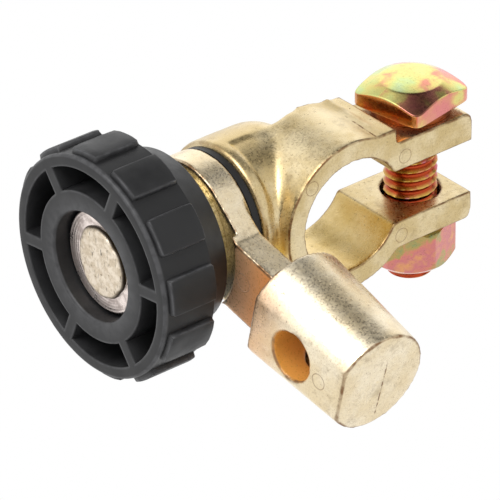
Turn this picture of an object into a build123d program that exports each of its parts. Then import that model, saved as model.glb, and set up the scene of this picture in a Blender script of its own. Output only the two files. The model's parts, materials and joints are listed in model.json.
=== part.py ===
"""Battery disconnect switch: a post clamp, a swivelling cable lug and a screw knob.

Origin: centre of the post bore on the clamp's underside, which faces the battery.
+X runs along the contact stud to the knob, +Y along the clamp bolt to its head and
+Z up the battery post, away from the battery. Sizes are in millimetres.
"""
import os
from math import acos, asin, atan2, cos, degrees, pi, radians, sin, sqrt, tan

from build123d import *

# Clamp casting
post_bore_radius = 8.8
clamp_height = 13.0
clamp_wall = 3.3
clamp_draft = 1.3
jaw_gap = 8.5
head_ear_thickness = 4.7
nut_ear_thickness = 4.4
ear_end_distance = 6.0
ear_corner_radius = 1.3
shoulder_rise = 1.7
head_side_gap = 0.2
bolt_setback = 16.5
bolt_height = 6.7
bolt_hole_radius = 4.4

# Boss for the contact stud
boss_radius = 11.0
boss_reach = 14.6
boss_rim_radius = 0.8
collar_length = 2.0
neck_recess = 0.35
saddle_full_reach = 6.2
saddle_end_radius = 5.5

# Clamp bolt and nut
bolt_radius = 4.0
bolt_projection = 1.9
bolt_tip_chamfer = 0.8
head_across_flats = 12.4
head_envelope_radius = 8.2
head_corner_height = 3.0
head_rim_radius = 4.6
head_cone_angle = 27.0
head_crown_rise = 0.35
head_turn = 10.0
head_base_radius = 5.9
head_base_height = 1.05
nut_across_flats = 11.8
nut_thickness = 7.3
nut_face_radius = 5.3
nut_chamfer_angle = 38.0
nut_turn = 21.7

# Contact stud thread and fits
stud_radius = 5.0
stud_end_wall = 1.2
stud_tip_gap = 0.3
stud_tip_chamfer = 0.8
running_gap = 0.05

# Insulating bush
bush_flange_thickness = 1.1
bush_flange_radius = 10.25
bush_sleeve_radius = 6.7
bush_bore_gap = 0.3
bush_sleeve_setback = 0.4

# Cable lug
lug_angle = 12.85
lug_ring_radius = 10.35
lug_ring_thickness = 4.5
arm_back_step = 0.7
arm_front_step = 1.1
arm_half_width = 5.8
neck_end = 11.2
spot_face_radius = 12.0
block_start = 20.5
block_length = 19.0
block_radius = 8.95
block_draft = 2.9
block_axis_reach = 17.2
block_flat_depth = 1.22
block_edge_radius = 0.6
cable_bore_radius = 3.7
cable_bore_setback = 8.6

# Cable set screw
set_screw_radius = 3.0
set_screw_length = 4.6
set_screw_tip_gap = 0.1
set_screw_chamfer = 0.4
set_screw_socket_across = 3.0
set_screw_socket_depth = 2.2

# Contact washer and the stud's flange
washer_thickness = 1.5
washer_radius = 9.2
washer_bore_gap = 0.3
flange_radius = 8.6
flange_thickness = 3.2
flange_edge_chamfer = 0.4

# Knob
skirt_gap = 3.0
skirt_rear_radius = 13.1
skirt_front_radius = 15.0
skirt_wall = 2.4
skirt_depth = 4.6
knob_length = 14.4
grip_length = 8.9
grip_radius = 16.85
rim_wall = 1.75
hub_radius = 11.4
hub_bore_radius = 8.3
hub_recess_depth = 3.8
pocket_depth = 7.0
spoke_count = 6
spoke_width = 1.7
spoke_turn = -22.5
pad_count = 12
pad_rise = 0.85
pad_width = 5.6
pad_front_setback = 0.9
pad_sink = 0.6

# Stud core held in the knob
drive_across_flats = 9.0
drive_gap = 0.05
core_radius = 4.9
peen_radius = 5.6
peen_height = 0.7
peen_chamfer = 0.25
retaining_radius = 7.9
retaining_thickness = 1.4
retaining_edge = 0.35

# Places that follow from the sizes above
half_gap = jaw_gap / 2
ear_reach = bolt_setback + ear_end_distance
shoulder_reach = bolt_setback - head_envelope_radius - head_side_gap
head_seat = half_gap + head_ear_thickness
nut_seat = half_gap + nut_ear_thickness
ring_radius = post_bore_radius + clamp_wall
stud_height = clamp_height
stud_hole_end = post_bore_radius + stud_end_wall
lug_back = boss_reach + bush_flange_thickness
lug_front = lug_back + lug_ring_thickness
arm_back = lug_back + arm_back_step
arm_front = lug_front + arm_front_step
washer_front = lug_front + washer_thickness
flange_front = washer_front + flange_thickness
skirt_rear = lug_front + skirt_gap
knob_front = skirt_rear + knob_length
grip_rear = knob_front - grip_length
hub_floor = knob_front - hub_recess_depth
pocket_floor = knob_front - pocket_depth
retaining_front = hub_floor + retaining_thickness
bolt_tip = nut_seat + nut_thickness + bolt_projection
cable_place = block_start + cable_bore_setback

# Working planes: across the post, across the bolt and across the stud
bolt_axis = Plane(origin=(-bolt_setback, 0, bolt_height), x_dir=(1, 0, 0), z_dir=(0, 1, 0))
stud_axis = Plane(origin=(0, 0, stud_height), x_dir=(0, 1, 0), z_dir=(1, 0, 0))
stud_section = Plane(origin=(0, 0, stud_height), x_dir=(1, 0, 0), z_dir=(0, -1, 0))
saddle_section = Plane(origin=(0, 0, stud_height), x_dir=(1, 0, 0), z_dir=(0, 0, 1))
lug_along = Vector(0, -sin(radians(lug_angle)), -cos(radians(lug_angle)))
lug_across = Vector(0, cos(radians(lug_angle)), -sin(radians(lug_angle)))
lug_plan = Plane(origin=(0, 0, stud_height), x_dir=lug_along, z_dir=(1, 0, 0))
lug_side = Plane(origin=(0, 0, stud_height), x_dir=lug_along, z_dir=lug_across * -1)


def stud_plane(reach):
    """Plane across the stud's axis at this reach from the post."""
    return stud_axis.offset(reach)


# Clamp casting: split ring with two ears, a shoulder under the bolt head and a boss
with BuildPart() as clamp_casting:
    with BuildSketch(Plane.XY.offset(clamp_height)):
        Circle(ring_radius + clamp_height * tan(radians(clamp_draft)))
    extrude(amount=-clamp_height, taper=clamp_draft)
    with BuildSketch():
        with BuildLine():
            ear_end = Line((-ear_reach, -nut_seat), (-ear_reach, head_seat))
            ear_top = Line(ear_end @ 1, (-shoulder_reach, head_seat))
            shoulder = Line(ear_top @ 1, (-shoulder_reach, head_seat + shoulder_rise))
            Polyline(
                shoulder @ 1,
                (0, head_seat + shoulder_rise),
                (0, -nut_seat),
                ear_end @ 0,
            )
        make_face()
    extrude(amount=clamp_height)
    ear_corners = clamp_casting.edges().filter_by(Axis.Z).group_by(Axis.X)[0]
    fillet(ear_corners, ear_corner_radius)
    with BuildSketch(stud_plane(0)):
        Circle(boss_radius - neck_recess)
        with Locations((0, -boss_radius / 2)):
            Rectangle(2 * boss_radius, boss_radius, mode=Mode.INTERSECT)
    extrude(amount=boss_reach)
    with BuildSketch(stud_plane(boss_reach - collar_length)):
        Circle(boss_radius)
        with Locations((0, -boss_radius / 2)):
            Rectangle(2 * boss_radius, boss_radius, mode=Mode.INTERSECT)
    extrude(amount=collar_length)
    with BuildSketch(saddle_section):
        with BuildLine():
            saddle_tip = saddle_full_reach - saddle_end_radius
            saddle_core = boss_radius - saddle_end_radius
            base = Line((saddle_tip, 0), (boss_reach, 0))
            face = Line(base @ 1, (boss_reach, boss_radius))
            crest = Line(face @ 1, (saddle_full_reach, boss_radius))
            CenterArc((saddle_full_reach, saddle_core), saddle_end_radius, 90, 90)
            Line((saddle_tip, saddle_core), base @ 0)
        make_face()
    revolve(axis=Axis((0, 0, stud_height), (1, 0, 0)), revolution_arc=180)
    boss_rim = clamp_casting.edges().filter_by(GeomType.CIRCLE).group_by(Axis.X)[-1]
    fillet(boss_rim, boss_rim_radius)
    with BuildSketch():
        Circle(post_bore_radius)
    extrude(amount=clamp_height + boss_radius, mode=Mode.SUBTRACT)
    with BuildSketch():
        with Locations((-ear_reach / 2, 0)):
            Rectangle(ear_reach, jaw_gap)
    extrude(amount=clamp_height, mode=Mode.SUBTRACT)
    with BuildSketch(bolt_axis.offset(-nut_seat)):
        Circle(bolt_hole_radius)
    extrude(amount=nut_seat + head_seat, mode=Mode.SUBTRACT)
    with BuildSketch(stud_plane(stud_hole_end)):
        Circle(stud_radius + running_gap)
    extrude(amount=boss_reach - stud_hole_end, mode=Mode.SUBTRACT)
clamp_casting.part.label = "clamp_casting"

# Clamp bolt: square head with a coned and domed top and a round base, on a shank of the thread's size
crown_sphere_radius = (head_rim_radius**2 + head_crown_rise**2) / (2 * head_crown_rise)
head_cone_height = (head_envelope_radius - head_rim_radius) * tan(radians(head_cone_angle))
crown_rim = head_seat + head_corner_height + head_cone_height
crown_top = crown_rim + head_crown_rise
bolt_section = Plane(origin=bolt_axis.origin, x_dir=(1, 0, 0), z_dir=(0, 0, 1))
with BuildPart() as clamp_bolt:
    with BuildSketch(bolt_axis.offset(head_seat + head_base_height)):
        Rectangle(head_across_flats, head_across_flats, rotation=head_turn)
    extrude(amount=crown_top - head_seat)
    with BuildSketch(bolt_section):
        with BuildLine():
            foot = Line((0, head_seat), (head_envelope_radius, head_seat))
            corner = Line(foot @ 1, (head_envelope_radius, head_seat + head_corner_height))
            Line(corner @ 1, (head_rim_radius, crown_rim))
            crown_angle = degrees(asin(head_rim_radius / crown_sphere_radius))
            crown_centre = (0, crown_top - crown_sphere_radius)
            crown = CenterArc(crown_centre, crown_sphere_radius, 90 - crown_angle, crown_angle)
            Line(crown @ 1, foot @ 0)
        make_face()
    revolve(axis=Axis(bolt_axis.origin, (0, 1, 0)), mode=Mode.INTERSECT)
    with BuildSketch(bolt_axis.offset(head_seat)):
        Circle(head_base_radius)
    extrude(amount=head_base_height)
    with BuildSketch(bolt_axis.offset(-bolt_tip)):
        Circle(bolt_radius)
    extrude(amount=bolt_tip + head_seat)
    bolt_end = clamp_bolt.edges().filter_by(GeomType.CIRCLE).group_by(Axis.Y)[0]
    chamfer(bolt_end, bolt_tip_chamfer)
clamp_bolt.part.label = "clamp_bolt"

# Clamp nut: hexagon chamfered at both ends
nut_corner_radius = nut_across_flats / 2 / cos(pi / 6)
nut_corner_drop = (nut_corner_radius - nut_face_radius) * tan(radians(nut_chamfer_angle))
with BuildPart() as clamp_nut:
    with BuildSketch(bolt_axis.offset(-nut_seat)):
        RegularPolygon(nut_across_flats / 2, 6, major_radius=False, rotation=nut_turn)
    extrude(amount=-nut_thickness)
    with BuildSketch(bolt_section):
        with BuildLine():
            Polyline(
                (bolt_radius + running_gap, -nut_seat),
                (nut_face_radius, -nut_seat),
                (nut_corner_radius, -nut_seat - nut_corner_drop),
                (nut_corner_radius, -nut_seat - nut_thickness + nut_corner_drop),
                (nut_face_radius, -nut_seat - nut_thickness),
                (bolt_radius + running_gap, -nut_seat - nut_thickness),
                close=True,
            )
        make_face()
    revolve(axis=Axis(bolt_axis.origin, (0, 1, 0)), mode=Mode.INTERSECT)
clamp_nut.part.label = "clamp_nut"

# Insulating bush: flange against the boss, sleeve through the lug
with BuildPart() as insulating_bush:
    with BuildSketch(stud_plane(boss_reach)):
        Circle(bush_flange_radius)
    extrude(amount=bush_flange_thickness)
    with BuildSketch(stud_plane(lug_back)):
        Circle(bush_sleeve_radius)
    extrude(amount=lug_ring_thickness - bush_sleeve_setback)
    with BuildSketch(stud_plane(boss_reach)):
        Circle(stud_radius + bush_bore_gap)
    extrude(amount=bush_flange_thickness + lug_ring_thickness, mode=Mode.SUBTRACT)
insulating_bush.part.label = "insulating_bush"

# Cable lug: ring, tapered neck, flat arm and a drafted round block with one flat
neck_reach = sqrt(neck_end**2 + arm_half_width**2)
neck_angle = atan2(arm_half_width, neck_end) + acos(lug_ring_radius / neck_reach)
neck_touch = (lug_ring_radius * cos(neck_angle), lug_ring_radius * sin(neck_angle))
block_middle = block_start + block_length / 2
block_stop = block_start + block_length
block_narrowing = block_length * tan(radians(block_draft))
block_flat_reach = block_axis_reach + block_radius - block_flat_depth
with BuildPart() as cable_lug:
    with BuildSketch(lug_plan.offset(arm_back)) as lug_outline:
        Circle(lug_ring_radius)
        with BuildLine():
            Polyline(
                (neck_touch[0], neck_touch[1]),
                (neck_end, arm_half_width),
                (block_middle, arm_half_width),
                (block_middle, -arm_half_width),
                (neck_end, -arm_half_width),
                (neck_touch[0], -neck_touch[1]),
                (0, 0),
                close=True,
            )
        make_face()
    extrude(amount=arm_front - arm_back)
    with BuildSketch(stud_plane(lug_back)):
        Circle(lug_ring_radius)
    extrude(amount=arm_back_step)
    with BuildSketch(stud_plane(lug_front)):
        Circle(spot_face_radius)
    extrude(amount=arm_front_step, mode=Mode.SUBTRACT)
    with BuildSketch(lug_side) as block_profile:
        with BuildLine():
            Polyline(
                (block_start, block_axis_reach),
                (block_start, block_axis_reach + block_radius),
                (block_stop, block_axis_reach + block_radius - block_narrowing),
                (block_stop, block_axis_reach),
                close=True,
            )
        make_face()
        end_corner = block_profile.vertices().sort_by(Axis((0, 0, stud_height), lug_along))[-2:]
        fillet(end_corner.sort_by(Axis.X)[-1], block_edge_radius)
    revolve(axis=Axis((block_axis_reach, 0, stud_height), lug_along))
    with BuildSketch(lug_side):
        with BuildLine():
            Polyline(
                (block_start, block_flat_reach),
                (block_stop, block_flat_reach - block_narrowing),
                (block_stop, block_flat_reach + block_flat_depth),
                (block_start, block_flat_reach + block_flat_depth),
                close=True,
            )
        make_face()
    extrude(amount=block_radius, both=True, mode=Mode.SUBTRACT)
    with BuildSketch(stud_plane(lug_back)):
        Circle(bush_sleeve_radius + running_gap)
    extrude(amount=lug_ring_thickness, mode=Mode.SUBTRACT)
    cable_centre = Vector(0, 0, stud_height) + lug_along * cable_place
    with BuildSketch(Plane(origin=cable_centre, x_dir=(0, 1, 0), z_dir=(1, 0, 0))):
        Circle(cable_bore_radius)
    extrude(amount=block_axis_reach + 2 * block_radius, mode=Mode.SUBTRACT)
    screw_plane = Plane(
        origin=Vector(block_axis_reach, 0, stud_height) + lug_along * cable_place,
        x_dir=(1, 0, 0),
        z_dir=lug_across * -1,
    )
    with BuildSketch(screw_plane):
        Circle(set_screw_radius + running_gap)
    extrude(amount=2 * block_radius, mode=Mode.SUBTRACT)
cable_lug.part.label = "cable_lug"

# Cable set screw: grub screw with a hexagon socket
with BuildPart() as cable_set_screw:
    with BuildSketch(screw_plane.offset(cable_bore_radius + set_screw_tip_gap)):
        Circle(set_screw_radius)
    extrude(amount=set_screw_length)
    chamfer(cable_set_screw.edges().filter_by(GeomType.CIRCLE), set_screw_chamfer)
    screw_head = cable_bore_radius + set_screw_tip_gap + set_screw_length
    with BuildSketch(screw_plane.offset(screw_head)):
        RegularPolygon(set_screw_socket_across / 2, 6, major_radius=False)
    extrude(amount=-set_screw_socket_depth, mode=Mode.SUBTRACT)
cable_set_screw.part.label = "cable_set_screw"

# Contact washer: slides with the stud and closes the contact against the lug
with BuildPart() as contact_washer:
    with BuildSketch(stud_plane(lug_front)):
        Circle(washer_radius)
        Circle(stud_radius + washer_bore_gap, mode=Mode.SUBTRACT)
    extrude(amount=washer_thickness)
contact_washer.part.label = "contact_washer"

# Contact stud: thread, flange, square drive in the knob and a peened end
with BuildPart() as contact_stud:
    with BuildSketch(stud_plane(stud_hole_end + stud_tip_gap)):
        Circle(stud_radius)
    extrude(amount=washer_front - stud_hole_end - stud_tip_gap)
    chamfer(contact_stud.edges().group_by(Axis.X)[0], stud_tip_chamfer)
    with BuildSketch(stud_plane(washer_front)):
        Circle(flange_radius)
    extrude(amount=flange_thickness)
    flange_rims = contact_stud.edges().filter_by(GeomType.CIRCLE).group_by(SortBy.RADIUS)[-1]
    chamfer(flange_rims, flange_edge_chamfer)
    with BuildSketch(stud_plane(flange_front)):
        Rectangle(drive_across_flats, drive_across_flats)
        Circle(core_radius * sqrt(3 / 2), mode=Mode.INTERSECT)
    extrude(amount=hub_floor - flange_front)
    with BuildSketch(stud_plane(hub_floor)):
        Circle(core_radius)
    extrude(amount=retaining_thickness)
    with BuildSketch(stud_plane(retaining_front)):
        Circle(peen_radius)
    extrude(amount=peen_height)
    chamfer(contact_stud.edges().filter_by(GeomType.CIRCLE).group_by(Axis.X)[-1], peen_chamfer)
contact_stud.part.label = "contact_stud"

# Retaining washer under the peened end
with BuildPart() as retaining_washer:
    with BuildSketch(stud_plane(hub_floor)):
        Circle(retaining_radius)
        Circle(core_radius + running_gap, mode=Mode.SUBTRACT)
    extrude(amount=retaining_thickness)
    washer_rim = retaining_washer.edges().filter_by(GeomType.CIRCLE).group_by(SortBy.RADIUS)[-1]
    chamfer(washer_rim.group_by(Axis.X)[-1], retaining_edge)
retaining_washer.part.label = "retaining_washer"

# Knob: tapered skirt, ribbed grip, hub and spokes round deep pockets
with BuildPart() as knob:
    with BuildSketch(stud_section):
        with BuildLine():
            Polyline(
                (skirt_rear, 0),
                (skirt_rear, skirt_rear_radius),
                (grip_rear, skirt_front_radius),
                (grip_rear, grip_radius),
                (knob_front, grip_radius),
                (knob_front, 0),
                close=True,
            )
        make_face()
    revolve(axis=Axis((0, 0, stud_height), (1, 0, 0)))
    with BuildSketch(stud_plane(grip_rear)):
        with PolarLocations(grip_radius - pad_sink, pad_count, start_angle=spoke_turn):
            Rectangle(2 * (pad_rise + pad_sink), pad_width)
        Circle(grip_radius + pad_rise, mode=Mode.INTERSECT)
    extrude(amount=grip_length - pad_front_setback)
    with BuildSketch(stud_plane(pocket_floor)):
        Circle(grip_radius - rim_wall)
        Circle(hub_radius, mode=Mode.SUBTRACT)
        with PolarLocations((grip_radius + hub_bore_radius) / 2, spoke_count, start_angle=spoke_turn):
            Rectangle(grip_radius - hub_bore_radius, spoke_width, mode=Mode.SUBTRACT)
    extrude(amount=pocket_depth, mode=Mode.SUBTRACT)
    with BuildSketch(stud_plane(hub_floor)):
        Circle(hub_bore_radius)
    extrude(amount=hub_recess_depth, mode=Mode.SUBTRACT)
    with BuildSketch(stud_section):
        with BuildLine():
            Polyline(
                (skirt_rear, flange_radius + drive_gap),
                (skirt_rear, skirt_rear_radius - skirt_wall),
                (skirt_rear + skirt_depth, skirt_front_radius - skirt_wall),
                (skirt_rear + skirt_depth, flange_radius + drive_gap),
                close=True,
            )
        make_face()
    revolve(axis=Axis((0, 0, stud_height), (1, 0, 0)), mode=Mode.SUBTRACT)
    with BuildSketch(stud_plane(skirt_rear)):
        Circle(flange_radius + 2 * drive_gap)
    extrude(amount=flange_front - skirt_rear, mode=Mode.SUBTRACT)
    with BuildSketch(stud_plane(flange_front)):
        Rectangle(drive_across_flats + 2 * drive_gap, drive_across_flats + 2 * drive_gap)
        Circle(core_radius * sqrt(3 / 2) + drive_gap, mode=Mode.INTERSECT)
    extrude(amount=hub_floor - flange_front, mode=Mode.SUBTRACT)
knob.part.label = "knob"

os.makedirs("parts", exist_ok=True)
export_step(clamp_casting.part, "parts/clamp_casting.step")
export_step(clamp_bolt.part, "parts/clamp_bolt.step")
export_step(clamp_nut.part, "parts/clamp_nut.step")
export_step(insulating_bush.part, "parts/insulating_bush.step")
export_step(cable_lug.part, "parts/cable_lug.step")
export_step(cable_set_screw.part, "parts/cable_set_screw.step")
export_step(contact_washer.part, "parts/contact_washer.step")
export_step(contact_stud.part, "parts/contact_stud.step")
export_step(retaining_washer.part, "parts/retaining_washer.step")
export_step(knob.part, "parts/knob.step")
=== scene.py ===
"""Battery disconnect switch: finishes, turned and moulded surfaces, camera and studio.

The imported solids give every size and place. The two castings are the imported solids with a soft
cast skin. The knob, the stud, the retaining washer, the bolt and the nut are surfaces worked out
here on grids. The bush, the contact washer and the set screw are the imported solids. Sizes are in
millimetres, and a mesh is turned to metres when it is made.
"""
import json
import logging
from dataclasses import dataclass, field
from enum import Enum

import bmesh
import bpy
import numpy as np
from mathutils import Matrix, Vector

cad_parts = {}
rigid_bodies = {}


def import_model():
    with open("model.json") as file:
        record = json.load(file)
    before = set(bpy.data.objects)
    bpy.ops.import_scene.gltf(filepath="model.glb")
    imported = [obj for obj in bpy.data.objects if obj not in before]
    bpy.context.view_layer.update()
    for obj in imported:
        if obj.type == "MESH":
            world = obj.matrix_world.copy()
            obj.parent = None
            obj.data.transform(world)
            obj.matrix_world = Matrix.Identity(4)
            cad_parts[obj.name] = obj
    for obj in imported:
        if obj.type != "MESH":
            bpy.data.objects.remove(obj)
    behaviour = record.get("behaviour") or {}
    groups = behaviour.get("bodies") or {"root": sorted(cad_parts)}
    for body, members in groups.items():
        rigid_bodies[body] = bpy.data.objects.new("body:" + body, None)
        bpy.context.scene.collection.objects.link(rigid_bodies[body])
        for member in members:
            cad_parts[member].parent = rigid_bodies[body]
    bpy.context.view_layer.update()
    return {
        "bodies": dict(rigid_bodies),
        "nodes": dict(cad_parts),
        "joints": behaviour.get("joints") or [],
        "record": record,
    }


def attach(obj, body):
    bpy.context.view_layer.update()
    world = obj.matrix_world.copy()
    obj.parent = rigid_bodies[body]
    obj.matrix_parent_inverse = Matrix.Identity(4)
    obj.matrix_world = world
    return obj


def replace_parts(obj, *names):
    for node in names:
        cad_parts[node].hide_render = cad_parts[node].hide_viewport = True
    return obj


LOG = logging.getLogger("disconnect_switch")
MM = 0.001
TURN = 2 * np.pi
# Millimetres: points this near are joined, edges this short are dissolved, and a place this near
# a face lies on it. FAR_AWAY stands for a distance where a form has no meaning.
MERGE = 0.002
SLIVER = 0.0005
ON_FACE = 0.01
FAR_AWAY = 99.0

Array = np.ndarray
Socket = bpy.types.NodeSocket
Material = bpy.types.Material
Triple = tuple[float, float, float]


class Body(Enum):
    """Bodies that carry the pieces made here."""

    CLAMP = "clamp"
    LUG = "lug"
    BOLT = "bolt"
    NUT = "nut"
    KNOB = "knob"


class Trait(Enum):
    """Numbers that a casting or a moulding carries on its points for its finish, and for its painted light
    and shade.
    """

    EDGE = "edge"
    CREASE = "crease"
    WARM = "warm"
    OCHRE = "ochre"
    MATTE = "matte"


def linear(hex_colour: str) -> tuple[float, float, float, float]:
    """Turn an sRGB hex colour into linear red, green, blue and alpha.

    Args:
        hex_colour: Six hexadecimal digits after a hash.

    Returns:
        Linear components, alpha one.
    """
    channels = np.array([int(hex_colour[i : i + 2], 16) for i in (1, 3, 5)]) / 255
    low = channels / 12.92
    high = ((channels + 0.055) / 1.055) ** 2.4
    red, green, blue = np.where(channels <= 0.04045, low, high)
    return float(red), float(green), float(blue), 1.0


def add_node(
    tree: bpy.types.NodeTree, kind: str, inputs: dict | None = None, **settings
) -> bpy.types.Node:
    """Add one shader node with its settings, constants and links.

    Args:
        tree: Node tree that takes the node.
        kind: Blender's type name of the node.
        inputs: Socket name or number to a constant or to another node's output.
        **settings: Properties of the node.

    Returns:
        The new node.
    """
    node = tree.nodes.new(kind)
    for name, value in settings.items():
        setattr(node, name, value)
    for key, value in (inputs or {}).items():
        if isinstance(value, Socket):
            tree.links.new(value, node.inputs[key])
        else:
            node.inputs[key].default_value = value
    return node


class Finish:
    """Node tree of one material, with the few steps that every finish here shares."""

    def __init__(self, name: str) -> None:
        """Start a material with its shader, its output and object coordinates in millimetres."""
        self.material = bpy.data.materials.new(name)
        self.material.use_nodes = True
        self.tree = self.material.node_tree
        self.tree.nodes.clear()
        self.shader = self.add("BsdfPrincipled")
        self.add("OutputMaterial", {"Surface": self.shader.outputs["BSDF"]})
        place = self.add("TexCoord").outputs["Object"]
        self.place = self.add("Mapping", {"Vector": place, "Scale": (1 / MM,) * 3}).outputs[0]

    def add(self, kind: str, inputs: dict | None = None, **settings) -> bpy.types.Node:
        """Add a shader node to this finish."""
        return add_node(self.tree, "ShaderNode" + kind, inputs, **settings)

    def noise(self, size: float, detail: float = 3.0, rough: float = 0.5) -> Socket:
        """Give a noise whose largest lumps are this many millimetres wide."""
        inputs = {"Vector": self.place, "Scale": 1 / size, "Detail": detail, "Roughness": rough}
        return self.add("TexNoise", inputs).outputs["Fac"]

    def band(
        self, value: Socket, low: float, high: float, start: float = 0.0, end: float = 1.0
    ) -> Socket:
        """Map a value from low and high to start and end, clamped and smooth."""
        inputs = {"Value": value, "From Min": low, "From Max": high, "To Min": start, "To Max": end}
        return self.add("MapRange", inputs, interpolation_type="SMOOTHSTEP").outputs["Result"]

    def math(self, operation: str, first, second=0.0) -> Socket:
        """Give the result of one arithmetic step on sockets or numbers."""
        return self.add("Math", {0: first, 1: second}, operation=operation).outputs[0]

    def blend(self, factor, first, second) -> Socket:
        """Blend two colours, each a hex string or a socket."""
        colours = [linear(c) if isinstance(c, str) else c for c in (first, second)]
        node = self.add("Mix", {0: factor, 6: colours[0], 7: colours[1]}, data_type="RGBA")
        return node.outputs[2]

    def trait(self, trait: Trait) -> Socket:
        """Read a number that the mesh carries on its points."""
        return self.add("Attribute", attribute_name=trait.value).outputs["Fac"]

    def ramp(self, factor: Socket, stops: tuple) -> Socket:
        """Colour a value by stops of place and hex colour."""
        node = self.add("ValToRGB", {"Fac": factor})
        elements = node.color_ramp.elements
        while len(elements) < len(stops):
            elements.new(0.5)
        for element, (place, colour) in zip(elements, stops):
            element.position = place
            element.color = linear(colour)
        return node.outputs["Color"]

    def finish(self, colour, roughness, heights: list[tuple]) -> Material:
        """Link the colour and roughness, and stack bumps of strength, millimetres and height.

        Args:
            colour: Hex string or socket.
            roughness: Number or socket.
            heights: Strength, depth in millimetres and height socket of each bump.

        Returns:
            The material.
        """
        for name, value in (("Base Color", colour), ("Roughness", roughness)):
            if isinstance(value, Socket):
                self.tree.links.new(value, self.shader.inputs[name])
            else:
                constant = linear(value) if isinstance(value, str) else value
                self.shader.inputs[name].default_value = constant
        normal = None
        for strength, depth, height in heights:
            inputs = {"Strength": strength, "Distance": depth * MM, "Height": height}
            if normal is not None:
                inputs["Normal"] = normal
            normal = self.add("Bump", inputs).outputs["Normal"]
        if normal is not None:
            self.tree.links.new(normal, self.shader.inputs["Normal"])
        return self.material


@dataclass(frozen=True)
class CastBrassPlate:
    """Zinc die casting, brass plated: pale satin metal with a sandy skin, fine dark pits, a painted gold
    reflection in its hollows, and brown lines where the plating is thin on the edges."""

    name: str
    pale: str
    deep: str
    pins: tuple[Triple, ...]
    pin_radius: float
    score: tuple[Triple, Triple]
    gold_reflection: str = "#dab448"
    copper_reflection: str = "#dc9254"
    ochre: str = "#d8983e"
    worn: str = "#7c5a3c"
    pit: str = "#6e573a"
    cloud_mm: float = 7.0
    stain_mm: float = 2.2
    grain_mm: float = 0.32
    pit_mm: float = 0.5
    mark_line: float = 0.12
    score_line: float = 0.22

    def marks(self, finish: Finish) -> tuple[Socket, Socket]:
        """Draw the round marks of ejector pins, and one scored line.

        A pin's mark lies where the distance to its centre is its radius, and the score where the
        distance to the line's nearest point is small.

        Args:
            finish: Finish that takes the nodes.

        Returns:
            Strength of the pins' marks and of the score.
        """
        start, end = Vector(self.score[0]), Vector(self.score[1])
        run = end - start
        offset = finish.add("VectorMath", {0: finish.place, 1: start}, operation="SUBTRACT").outputs[0]
        share = finish.add("VectorMath", {0: offset, 1: run / run.length_squared}, operation="DOT_PRODUCT")
        share = finish.add("Clamp", {"Value": share.outputs["Value"]}).outputs[0]
        foot = finish.add("VectorMath", {0: run, "Scale": share}, operation="SCALE").outputs[0]
        away = finish.add("VectorMath", {0: offset, 1: foot}, operation="DISTANCE").outputs["Value"]
        broken = finish.band(finish.noise(0.9), 0.42, 0.58, 0.0, 0.12)
        score = finish.band(finish.math("ADD", away, broken), 0.05, self.score_line, 1.0, 0.0)
        nearest = None
        for pin in self.pins:
            away = finish.add("VectorMath", {0: finish.place, 1: pin}, operation="DISTANCE")
            off = finish.math("SUBTRACT", away.outputs["Value"], self.pin_radius)
            off = finish.math("ABSOLUTE", off)
            nearest = off if nearest is None else finish.math("MINIMUM", nearest, off)
        return finish.band(nearest, 0.0, self.mark_line, 1.0, 0.0), score

    def build(self) -> Material:
        """Build the finish."""
        finish = Finish(self.name)
        cloud = finish.noise(self.cloud_mm, 4.0, 0.6)
        grain = finish.noise(self.grain_mm, 4.0, 0.6)
        speck = finish.noise(self.pit_mm, 2.0, 0.6)
        colour = finish.blend(finish.band(cloud, 0.35, 0.65), self.deep, self.pale)
        colour = finish.blend(finish.band(grain, 0.3, 0.6, 0.2, 0.0), colour, self.pit)
        stain = finish.noise(self.stain_mm, 5.0, 0.7)
        colour = finish.blend(finish.band(stain, 0.5, 0.72, 0.0, 0.3), colour, self.pit)
        # Painted gold reflection: hollows where the skin bends inwards, and the places' marks, turn gold.
        colour = finish.blend(finish.band(finish.trait(Trait.CREASE), 0.1, 0.9), colour, self.gold_reflection)
        warm, ochre = finish.trait(Trait.WARM), finish.trait(Trait.OCHRE)
        # Painted copper reflection where WARM marks it.
        colour = finish.blend(warm, colour, self.copper_reflection)
        # Painted ochre reflection on the wall of the cable hole.
        colour = finish.blend(ochre, colour, self.ochre)
        edge_breakup = finish.band(finish.noise(2.2), 0.4, 0.6, 0.4, 0.95)
        edge = finish.math("MULTIPLY", finish.band(finish.trait(Trait.EDGE), 0.25, 0.65), edge_breakup)
        colour = finish.blend(edge, colour, self.worn)
        pits = finish.band(speck, 0.68, 0.78)
        colour = finish.blend(finish.math("MULTIPLY", pits, 0.7), colour, self.pit)
        rings, score = self.marks(finish)
        rings, score = finish.math("MULTIPLY", rings, 0.6), finish.math("MULTIPLY", score, 0.9)
        lines = finish.math("MAXIMUM", rings, score)
        colour = finish.blend(lines, colour, self.worn)
        # Where the copper and ochre reflections are painted, the metal is made mostly dull so that their
        # colour shows.
        dull = finish.math("MULTIPLY", finish.math("MAXIMUM", warm, ochre), 0.85)
        metal = finish.math("SUBTRACT", 1.0, dull)
        finish.tree.links.new(metal, finish.shader.inputs["Metallic"])
        rough = finish.band(grain, 0.3, 0.7, 0.25, 0.4)
        rough = finish.math("ADD", rough, finish.math("MULTIPLY", finish.trait(Trait.MATTE), 0.12))
        hollow = finish.math("SUBTRACT", 0.0, finish.math("ADD", pits, lines))
        heights = [(0.5, 0.034, grain), (0.3, 0.12, cloud), (0.6, 0.1, hollow)]
        return finish.finish(colour, rough, heights)


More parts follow.
